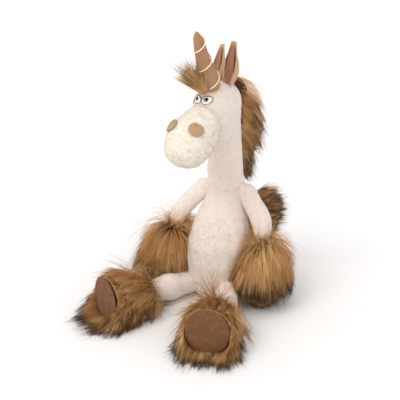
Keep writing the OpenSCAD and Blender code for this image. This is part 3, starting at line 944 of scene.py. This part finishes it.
class UNICORN_OT_face(bpy.types.Operator):
    """Sews on the eyes and the nostril patches"""
    bl_idname = "unicorn.face"
    bl_label = "Eyes and nostrils"

    def execute(self, context):
        face = settings()[2]
        head, muzzle = PADS["head"], PADS["muzzle"]
        white, black = material("Eye cloth"), material("Black thread")
        for side, sign in SIDES:
            low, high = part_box("eye_" + side)
            level = (low.z + high.z) / 2 - 0.6 * MM
            spot = (Vector((0, NECK_TOP.y, level)) + HEAD_SIDE * sign * 5.7 * MM
                    + HEAD_FRONT * 58 * MM)
            place = facing(spot, HEAD_FRONT)
            ball = pad("eye_cloth_" + side, head, place, face.eye_width, face.eye_height,
                       1.1 * MM, 0.35 * MM)
            ball.data.materials.append(white)
            pupil = pad("pupil", head, place, 4.6 * MM, 3.9 * MM, 0.7 * MM, 1.0 * MM,
                        centre=(-0.6 * MM, 0.6 * MM), rings=6)
            pupil.data.materials.append(black)
            glint = pad("glint", head, place, 1.2 * MM, 1.0 * MM, 0.5 * MM, 1.35 * MM,
                        centre=(-1.6 * MM, -0.1 * MM), rings=6)
            glint.data.materials.append(white)
            line = thread("lid", head, place, oval(face.eye_width, face.eye_height, -20, 235),
                          face.thread, 0.7 * MM)
            line.data.materials.append(black)
            stitches = [line]
            for k in range(5):
                stitch = thread("stitch", head, place,
                                oval(face.eye_width, face.eye_height, 222 + 24 * k, 15, 5),
                                face.thread * 0.85, 0.7 * MM)
                stitch.data.materials.append(black)
                stitches.append(stitch)
            if side == "right":
                brow = thread("brow", head, place,
                              [(-face.eye_width * 0.5 - 1.2 * MM * t - 0.6 * MM * t * t,
                                -5.5 * MM * t) for t in np.linspace(0, 1.4, 12)],
                              face.thread * 0.8, 0.6 * MM)
                brow.data.materials.append(black)
                stitches.append(brow)
            eye = join("eye_sewn_" + side, [ball, pupil, glint] + stitches)
            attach(eye, "head")
            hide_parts("eye_" + side)

            low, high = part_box("nostril_patch_" + side)
            spot = (low + high) / 2
            out = (HEAD_SIDE * sign * 0.55 + HEAD_FRONT * 0.53 + UP * 0.64).normalized()
            place = facing(spot, out)

            def pinch(co):
                far = np.hypot(co[:, 0], co[:, 1] - 3.4 * MM)
                return 1.3 * MM * np.exp(-(far / (1.5 * MM)) ** 2)

            patch = pad("nostril_sewn_" + side, muzzle, place, 17.6 * MM, 16.0 * MM, 2.4 * MM,
                        2.3 * MM, rings=16, pinch=pinch)
            dress(patch, material("Nostril suede"), "head")
            dimple = thread("nostril_stitch_" + side, muzzle, place,
                            [(0, 5.6 * MM), (0.3 * MM, 4.4 * MM), (-0.2 * MM, 3.0 * MM)],
                            0.7 * MM, 2.9 * MM)
            dress(dimple, material("Ear lining"), "head")
            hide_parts("nostril_patch_" + side)
        return {"FINISHED"}


class UNICORN_OT_horn(bpy.types.Operator):
    """Fills the horn between the turns of its cord"""
    bl_idname = "unicorn.horn"
    bl_label = "Horn and cord"

    def execute(self, context):
        horn = copy_nodes("horn_skin", "horn_stuffing")
        remesh(horn, 1.6 * MM, 3)
        cord_at = KDTree(len(frame["nodes"]["horn_cord"].data.vertices))
        for i, vertex in enumerate(frame["nodes"]["horn_cord"].data.vertices):
            cord_at.insert(vertex.co, i)
        cord_at.balance()
        near = np.array([cord_at.find(p)[2] for p in points(horn)])
        room = 2.7 * MM - 1.3 * MM * np.exp(-((near - 2.4 * MM).clip(0) / (2.4 * MM)) ** 2)
        swell([(horn, room)])
        clear_of(horn, ("horn_stuffing",), 0.8 * MM)
        press(horn, lambda co: 0.2 * MM * waves(co, 21, 9 * MM))
        finish_pad(horn, rounds=1)
        clear_of(horn, ("horn_stuffing",), 0.4 * MM)
        sewn(horn, material("Horn suede"), "horn_suede", "head", 0.9, "horn_cover")
        cord = copy_nodes("horn_cord_wound", "horn_cord")
        soften(cord, "Round", 1)
        apply_all(cord)
        shade(cord)
        shaft = points(horn)
        middle = shaft.mean(axis=0)
        along = np.linalg.svd(shaft - middle, full_matrices=False)[2][0]
        co = points(cord)
        axis = middle + np.outer((co - middle) @ along, along)
        move_points(cord, co - unit(co - axis) * 1.0 * MM)
        dress(cord, material("Horn cord"), "head")
        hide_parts("horn_cord")
        return {"FINISHED"}


def leaf(name, foot, up, front, rows, curl, length):
    """A curled leaf of cloth: rows of (share of length, half width), edges turned to the front."""
    side = up.cross(front).normalized()
    bpy.ops.object.select_all(action="DESELECT")
    bpy.ops.mesh.primitive_grid_add(x_subdivisions=20, y_subdivisions=26, size=2)
    obj = bpy.context.view_layer.objects.active
    co = points(obj)
    u, v = co[:, 0], (co[:, 1] + 1) / 2
    shares, widths = zip(*rows)
    wide = np.interp(v, shares, widths)
    angle = np.radians(np.interp(v, (0, 0.5, 1), curl))
    open_by = np.sin(np.minimum(angle, math.pi / 2))
    x = wide * np.sin(u * angle) / open_by
    y = -wide * (np.cos(u * angle) - np.cos(angle)) / np.maximum(open_by, 0.3)
    new = (np.array(foot)[None, :] + np.outer(v * length, np.array(up))
           + np.outer(x, np.array(side)) + np.outer(y, np.array(front)))
    move_points(obj, new)
    obj.name = obj.data.name = name
    return obj


class UNICORN_OT_ears(bpy.types.Operator):
    """Cuts and folds the suede ears and their darker linings"""
    bl_idname = "unicorn.ears"
    bl_label = "Ears"

    def execute(self, context):
        outline = [(0, 0.62), (0.12, 0.85), (0.3, 1.0), (0.5, 0.86), (0.7, 0.58), (0.86, 0.42),
                   (0.96, 0.34), (1, 0.20)]
        for side, sign in SIDES:
            low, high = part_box("ear_" + side)
            foot = PIVOT[f"ear_{side}_fold"].copy()
            foot.z = low.z - 1.2 * MM
            lean = 0.12 if side == "left" else 0.8
            up = (HEAD_SIDE * sign * 0.11 - HEAD_FRONT * lean + UP * 0.97).normalized()
            front = (HEAD_FRONT + HEAD_SIDE * sign * 0.15)
            front = (front - up * front.dot(up)).normalized()
            long = (high.z - low.z) / up.z + 2.5 * MM
            for name, share, stretch, lift, mat, slot in (
                    ("ear_shell_" + side, 9.4 * MM, (158, 128, 60), 0.0,
                     "Ear suede", "ear_suede"),
                    ("ear_inside_" + side, 5.6 * MM, (96, 74, 34), 0.6 * MM,
                     "Ear lining", "ear_lining")):
                obj = leaf(name, foot + front * lift, up, front,
                           [(s, w * share * (0.93 if lift else 1)) for s, w in outline], stretch,
                           long * (0.9 if lift else 1))
                press(obj, lambda co: 0.35 * MM * waves(co, 31, 16 * MM))
                modify(obj, "Cloth", "SOLIDIFY", thickness=0.8 * MM if lift else 1.3 * MM, offset=0)
                soften(obj, "Soft", 1)
                apply_all(obj)
                shade(obj)
                dress(obj, material(mat), "ear_" + side)
                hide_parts("ear_lining_" + side if lift else "ear_" + side)
        return {"FINISHED"}


class UNICORN_OT_soles(bpy.types.Operator):
    """Cuts the round suede soles and sews their edges"""
    bl_idname = "unicorn.soles"
    bl_label = "Soles"

    def execute(self, context):
        for side in ("left", "right"):
            low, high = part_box("sole_" + side)
            radius = (high.z - low.z) / 2
            out = heading_of(side)
            place = facing((low + high) / 2, out)
            bpy.ops.object.select_all(action="DESELECT")
            bpy.ops.mesh.primitive_cylinder_add(
                vertices=64, radius=radius - 0.3 * MM, depth=2.2 * MM)
            sole = context.view_layer.objects.active
            pick(sole, "FACE", [poly.normal.z > 0.9 for poly in sole.data.polygons])
            for share in (0.05, 0.09, 0.15, 0.18, 0.2, 0.2):
                bpy.ops.mesh.inset(thickness=radius * share, depth=0)
            bpy.ops.mesh.poke()
            bpy.ops.object.mode_set(mode="OBJECT")
            co = points(sole)
            reach = np.hypot(co[:, 0], co[:, 1]) / radius
            top = co[:, 2] > 0
            around = np.arctan2(co[:, 1], co[:, 0])
            crown = 1.2 * MM * (1 - reach ** 2) - 0.7 * MM * smooth_step((reach - 0.9) / 0.1)
            pucker = 0.22 * MM * np.sin(around * 17) * np.exp(-((reach - 0.9) / 0.08) ** 2)
            co[:, :2] *= (0.95, 1.04)
            lumps = 0.5 * MM * waves(co, 41, 26 * MM) * (reach < 0.93)
            co[:, 2] += np.where(top, crown + pucker + lumps, 0)
            move_points(sole, co)
            soften(sole, "Soft", 2)
            apply_all(sole)
            sole.matrix_world = place
            settle(sole, "sole_cut_" + side)
            shade(sole)
            dress(sole, material("Sole suede"), "boot_" + side)
            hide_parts("sole_" + side)
        return {"FINISHED"}


class UNICORN_OT_limb_fur(bpy.types.Operator):
    """Fills the mitts and boots and combs their long fur"""
    bl_idname = "unicorn.limb_fur"
    bl_label = "Mitts and boots"

    def execute(self, context):
        fur = settings()[1]
        pads = []
        for side in ("left", "right"):
            for kind in ("mitt", "boot"):
                skin = copy_nodes(f"{kind}_skin_{side}", f"{kind}_stuffing_{side}")
                remesh(skin, 2.6 * MM, 2)
                pads.append((skin, np.full(len(skin.data.vertices), 2.4 * MM), kind, side))
        swell([(skin, room) for skin, room, _, _ in pads], 12)
        for skin, _, kind, side in pads:
            clear_of(skin, (f"{kind}_stuffing_{side}",), 1.6 * MM)
            finish_pad(skin, 1, 0)
            clear_of(skin, (f"{kind}_stuffing_{side}",), 1.0 * MM)
            sewn(skin, material("Fur backing"), "long_fur", f"{kind}_{side}", 0.7,
                 f"{kind}_fur_{side}")
        for number, side in enumerate(("left", "right")):
            self.mitt(pads[2 * number][0], side, fur, 100 + number)
            self.boot(pads[2 * number + 1][0], side, fur, 200 + number)
        return {"FINISHED"}

    def mitt(self, skin, side, fur, seed):
        wrist = np.array(PIVOT["wrist_" + side])
        low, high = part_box(f"mitt_stuffing_{side}")
        foot = np.array((low + high) / 2)
        way = unit(foot - wrist)
        wide, hem = (1, 80 * MM) if side == "left" else (0.86, 84 * MM)
        end = wrist + way * (hem - 12 * MM) - np.array((5 * MM, 0, 0))

        def share(co):
            return np.clip((co - wrist) @ way / hem, 0, 1)

        def start(co, out):
            s = share(co)[:, None]
            return way * (0.35 + 0.60 * s) + out * (1.10 - 0.30 * s)

        def pull(co, out):
            return np.array(DOWN) * 0.50 + way * 0.35 + 0.16 * out

        def long(co, out):
            """All hairs end near one hem."""
            return np.clip(hem * (1.05 - share(co)), 13 * MM, fur.length * 1.08)

        core = (wrist - way * 2 * MM, end,
                lambda t: np.interp(t, (0, 0.12, 0.3, 0.55, 0.8, 1),
                                    (9, 14, 21, 28, 30, 21)) * wide * MM)
        locks(f"mitt_hair_{side}", skin, "mitt_" + side, fur.hairs, seed, start, pull, long,
              clumps=330, tight=0.9, core=core, floor=FLOOR_GAP, guard=0.22, guard_length=1.4,
              bare=0.12,
              weight=lambda co: 1 + 1.6 * smooth_step((0.3 - share(co)) / 0.3),
              tips=lambda co: 0.06 + 0.86 * smooth_step((share(co) - 0.30) / 0.25))

    def boot(self, skin, side, fur, seed):
        knee = np.array(PIVOT["knee_" + side])
        low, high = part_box("sole_" + side)
        centre = np.array((low + high) / 2)
        radius = (high.z - low.z) / 2
        way = np.array(heading_of(side))
        reach = float((centre - knee) @ way)
        across = np.array(UP.cross(Vector(way)))

        def share(co):
            return np.clip((co - knee) @ way / reach, 0, 1)

        def level(co):
            """From -1 at the floor to 1 on top."""
            return (co[:, 2] - centre[2]) / radius

        def place(co):
            """Roots near the sole move out to its seam."""
            foot = (knee + np.outer((co - knee) @ way, way)
                    + np.outer(share(co), centre - knee - way * reach))
            out = co - foot
            far = np.linalg.norm(out, axis=1, keepdims=True)
            least = radius * np.interp(share(co), (0.5, 0.85, 1), (0.6, 0.93, 1.02))[:, None]
            return np.where(far < least, foot + out / np.maximum(far, 1e-9) * least, co)

        def start(co, out):
            s = share(co)[:, None]
            early = 1 - smooth_step(s / 0.4)
            low_side = smooth_step((-0.1 - level(co)) / 0.5)[:, None] * s
            return (way * (0.95 - 0.85 * early - 0.35 * low_side)
                    + out * (0.55 + 0.10 * s + 0.35 * low_side))

        def pull(co, out):
            s = share(co)[:, None]
            low_side = smooth_step((0.3 - level(co)) / 0.8)[:, None]
            early = 1 - smooth_step(s / 0.35)
            return (np.array(DOWN) * (0.10 + 0.35 * low_side) + way * (0.30 - 0.22 * early)
                    + out * (0.12 + 0.10 * low_side))

        def long(co, out):
            left = (1 - share(co)) * reach
            high_side = smooth_step((level(co) + 0.55) / 0.8)
            short = np.clip(left * 0.92 - 1.5 * MM, 3.5 * MM, fur.length)
            return fur.length * 1.02 * (1 - high_side) + short * high_side

        ahead = 48 * MM
        core = (knee, centre + way * ahead,
                lambda t: np.interp(t * (reach + ahead),
                                    (0, 0.25 * reach, 0.8 * reach, reach, reach + ahead),
                                    (0.5, 0.7, 0.96, 0.97, 1.0)) * radius)
        locks(f"boot_hair_{side}", skin, "boot_" + side, fur.hairs, seed, start, pull, long,
              clumps=380, tight=0.9, core=core, floor=FLOOR_GAP, place=place, bare=0.1,
              weight=lambda co: np.where(share(co) > 0.985, 0.0, 1.0)
              * (1 + 1.2 * smooth_step((-0.2 - level(co)) / 0.5) * share(co)),
              tips=lambda co: (0.08 + 0.90 * smooth_step((0.2 - level(co)) / 0.6)
                               * smooth_step(share(co) / 0.4)),
              guard=0.18, guard_length=1.3)


def fan(co, turn):
    """A fixed spread from -1 to 1 that differs from root to root."""
    return np.sin(co[:, 0:1] * 9100 + co[:, 2:3] * 7300 + turn)


class UNICORN_OT_hair(bpy.types.Operator):
    """Combs the forelock, the mane and the tail"""
    bl_idname = "unicorn.hair"
    bl_label = "Forelock, mane and tail"

    def execute(self, context):
        back = -np.array(HEAD_FRONT)
        side = np.array(HEAD_SIDE)
        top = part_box("mane_head")[1].z

        # forelock: from a small root in front of the horn, fanned up and forward
        cut_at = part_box("forelock")[0].z + 8 * MM
        skin = self.base("forelock_root", "forelock", "head", 1.2 * MM, cut_at)
        locks("forelock_hair", skin, "head", 2000, 301,
              lambda co, out: (-back * (0.42 + 0.34 * fan(co, 0.3)) + np.array(UP) * 0.85
                               - side * (0.15 + 0.30 * fan(co, 2.1)) + out * 0.1),
              lambda co, out: (np.array(UP) * 0.10 - back * (0.15 + 0.25 * fan(co, 0.3))
                               - side * 0.10),
              lambda co, out: 31 * MM + 6 * MM * fan(co, 1.7)[:, 0], clumps=44, steps=5, tight=0.9,
              tips=lambda co: np.full(len(co), 0.16), tone=1.0, guard=0.25, bare=0.42)

        # mane: locks down the back of the head and neck, wisps beside the ears
        def fall(co, out):
            h = smooth_step((co[:, 2:3] - (top - 40 * MM)) / (36 * MM))
            return back * 0.75 + side * 0.8 + np.array(DOWN) * (0.7 - 0.95 * h) + out * 0.35

        skin = self.base("mane_head_root", "mane_head", "head", 2.2 * MM)
        locks("mane_head_hair", skin, "head", 4600, 302, fall,
              lambda co, out: np.array(DOWN) * 0.5 + side * 0.10,
              lambda co, out: 29 * MM + 6 * MM * fan(co, 0.9)[:, 0], clumps=44, steps=5, tight=0.95,
              weight=lambda co: 0.05 + smooth_step((top - 22 * MM - co[:, 2]) / (12 * MM)),
              tips=lambda co: np.full(len(co), 0.27), tone=1.0, guard=0.22, bare=0.42)
        skin = self.base("mane_neck_root", "mane_neck", "neck", 1.8 * MM)
        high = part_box("mane_neck")[1].z
        locks("mane_neck_hair", skin, "neck", 3000, 303,
              lambda co, out: fall(co, out) + np.array(UP) * smooth_step(
                  (co[:, 2:3] - high + 12 * MM) / (8 * MM)) * 1.3,
              lambda co, out: np.array(DOWN) * 0.6 + side * 0.10,
              lambda co, out: 22 * MM + 5 * MM * fan(co, 0.9)[:, 0], clumps=26, steps=5, tight=0.95,
              tips=lambda co: np.full(len(co), 0.33), tone=1.0, guard=0.22, bare=0.42)

        # tail: a bush that sweeps up and out to the toy's left
        skin = copy_nodes("tail_skin", "tail_core")
        remesh(skin, 3.5 * MM, 3)
        sewn(skin, material("Fur backing"), "tail_backing", "tail", 0.5, "tail_core")
        root = np.array(PIVOT["tail_swing"])
        low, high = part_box("tail_fur")
        tip = np.array(((low.x + high.x) / 2 + 6 * MM, (low.y + high.y) / 2, high.z))
        way = unit(tip - root)
        tail = locks("tail_hair", skin, "tail", 7600, 304,
                     lambda co, out: way * 0.75 + out * 0.8 + np.array((0.5, 0.1, 0.0)),
                     lambda co, out: np.array((0.42, 0.12, -0.05)),
                     lambda co, out: np.full(len(co), 25 * MM), clumps=260, tight=0.9, bare=0.15,
                     tone=0.7, tips=lambda co: 0.08 + 0.5 * smooth_step(
                         (co[:, 0] - root[0]) / (30 * MM)))
        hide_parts("tail_fur")
        return {"FINISHED"}

    def base(self, name, node, body, inset, top=None):
        """The backing that a lock's hairs are set in, a little inside its node."""
        skin = copy_nodes(name, node)
        if top:
            cut(skin, (0, 0, top), UP)
        remesh(skin, 2.2 * MM, 4)
        press(skin, lambda co: np.full(len(co), -inset))
        dress(skin, material("Fur backing"), body)
        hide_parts(node)
        return skin


class UNICORN_OT_fillings(bpy.types.Operator):
    """Gives the fillings inside their own finishes"""
    bl_idname = "unicorn.fillings"
    bl_label = "Fillings"

    def execute(self, context):
        for name, obj in frame["nodes"].items():
            kind = None
            if name.endswith(("stuffing", "stuffing_left", "stuffing_right")):
                kind = "Fibre filling"
            elif "bean" in name:
                kind = "Bean filling"
            if kind:
                for slot in obj.material_slots:
                    slot.material = material(kind)
        return {"FINISHED"}


class UNICORN_OT_stage(bpy.types.Operator):
    """Sets the floor, the light and the camera"""
    bl_idname = "unicorn.stage"
    bl_label = "Stage"

    def execute(self, context):
        stage = settings()[3]
        bpy.ops.object.select_all(action="DESELECT")
        bpy.ops.mesh.primitive_plane_add(size=8)
        floor = settle(context.view_layer.objects.active, "floor")
        floor.data.materials.append(
            plain_finish("Pale floor", (0.90, 0.90, 0.90), rough=0.7, spread=0.01))

        world = bpy.data.worlds.new("Soft studio")
        world.use_nodes = True
        world.node_tree.nodes["Background"].inputs["Color"].default_value = (1, 1, 1, 1)
        world.node_tree.nodes["Background"].inputs["Strength"].default_value = 0.88
        context.scene.world = world
        for name, energy, angle, turn in (("Key", 1.15, 35, (38, -22, 0)),
                                          ("Fill", 0.35, 70, (50, 45, 0))):
            light = bpy.data.lights.new(name, "SUN")
            light.energy = energy
            light.angle = math.radians(angle)
            lamp = bpy.data.objects.new(name, light)
            lamp.rotation_euler = [math.radians(v) for v in turn]
            context.scene.collection.objects.link(lamp)

        camera = bpy.data.cameras.new("Camera")
        camera.lens = stage.lens
        camera.sensor_width = 36
        rig = bpy.data.objects.new("Camera", camera)
        a, e = stage.azimuth, stage.elevation
        back = Vector((math.sin(a) * math.cos(e), -math.cos(a) * math.cos(e), math.sin(e)))
        rig.location = CAMERA_TARGET + back * stage.distance
        rig.rotation_euler = back.to_track_quat("Z", "Y").to_euler()
        context.scene.collection.objects.link(rig)
        context.scene.camera = rig
        context.scene.view_settings.view_transform = "Standard"
        return {"FINISHED"}


class UNICORN_PT_panel(bpy.types.Panel):
    """Lists the steps in order"""
    bl_idname = "UNICORN_PT_panel"
    bl_label = "Plush unicorn"
    bl_space_type = "VIEW_3D"
    bl_region_type = "UI"
    bl_category = "Unicorn"

    def draw(self, context):
        for group in ("unicorn_cloth", "unicorn_fur", "unicorn_face", "unicorn_stage"):
            box = self.layout.box()
            data = getattr(context.scene, group)
            for key in data.__annotations__:
                box.prop(data, key)
        for step in STEPS:
            self.layout.operator(step.bl_idname)


STEPS = (UNICORN_OT_stage, UNICORN_OT_fillings, UNICORN_OT_body, UNICORN_OT_pile, UNICORN_OT_face,
         UNICORN_OT_horn, UNICORN_OT_ears, UNICORN_OT_soles, UNICORN_OT_limb_fur, UNICORN_OT_hair)
GROUPS = {"unicorn_cloth": ClothSettings, "unicorn_fur": FurSettings,
          "unicorn_face": FaceSettings, "unicorn_stage": StageSettings}


def register():
    for cls in (*GROUPS.values(), *STEPS, UNICORN_PT_panel):
        bpy.utils.register_class(cls)
    for name, group in GROUPS.items():
        setattr(bpy.types.Scene, name, PointerProperty(type=group))


def unregister():
    for name in GROUPS:
        delattr(bpy.types.Scene, name)
    for cls in (UNICORN_PT_panel, *reversed(STEPS), *reversed(GROUPS.values())):
        bpy.utils.unregister_class(cls)


def main():
    """Makes every piece in order."""
    register()
    for step in STEPS:
        family, name = step.bl_idname.split(".")
        getattr(getattr(bpy.ops, family), name)()


if __name__ == "__main__":
    main()
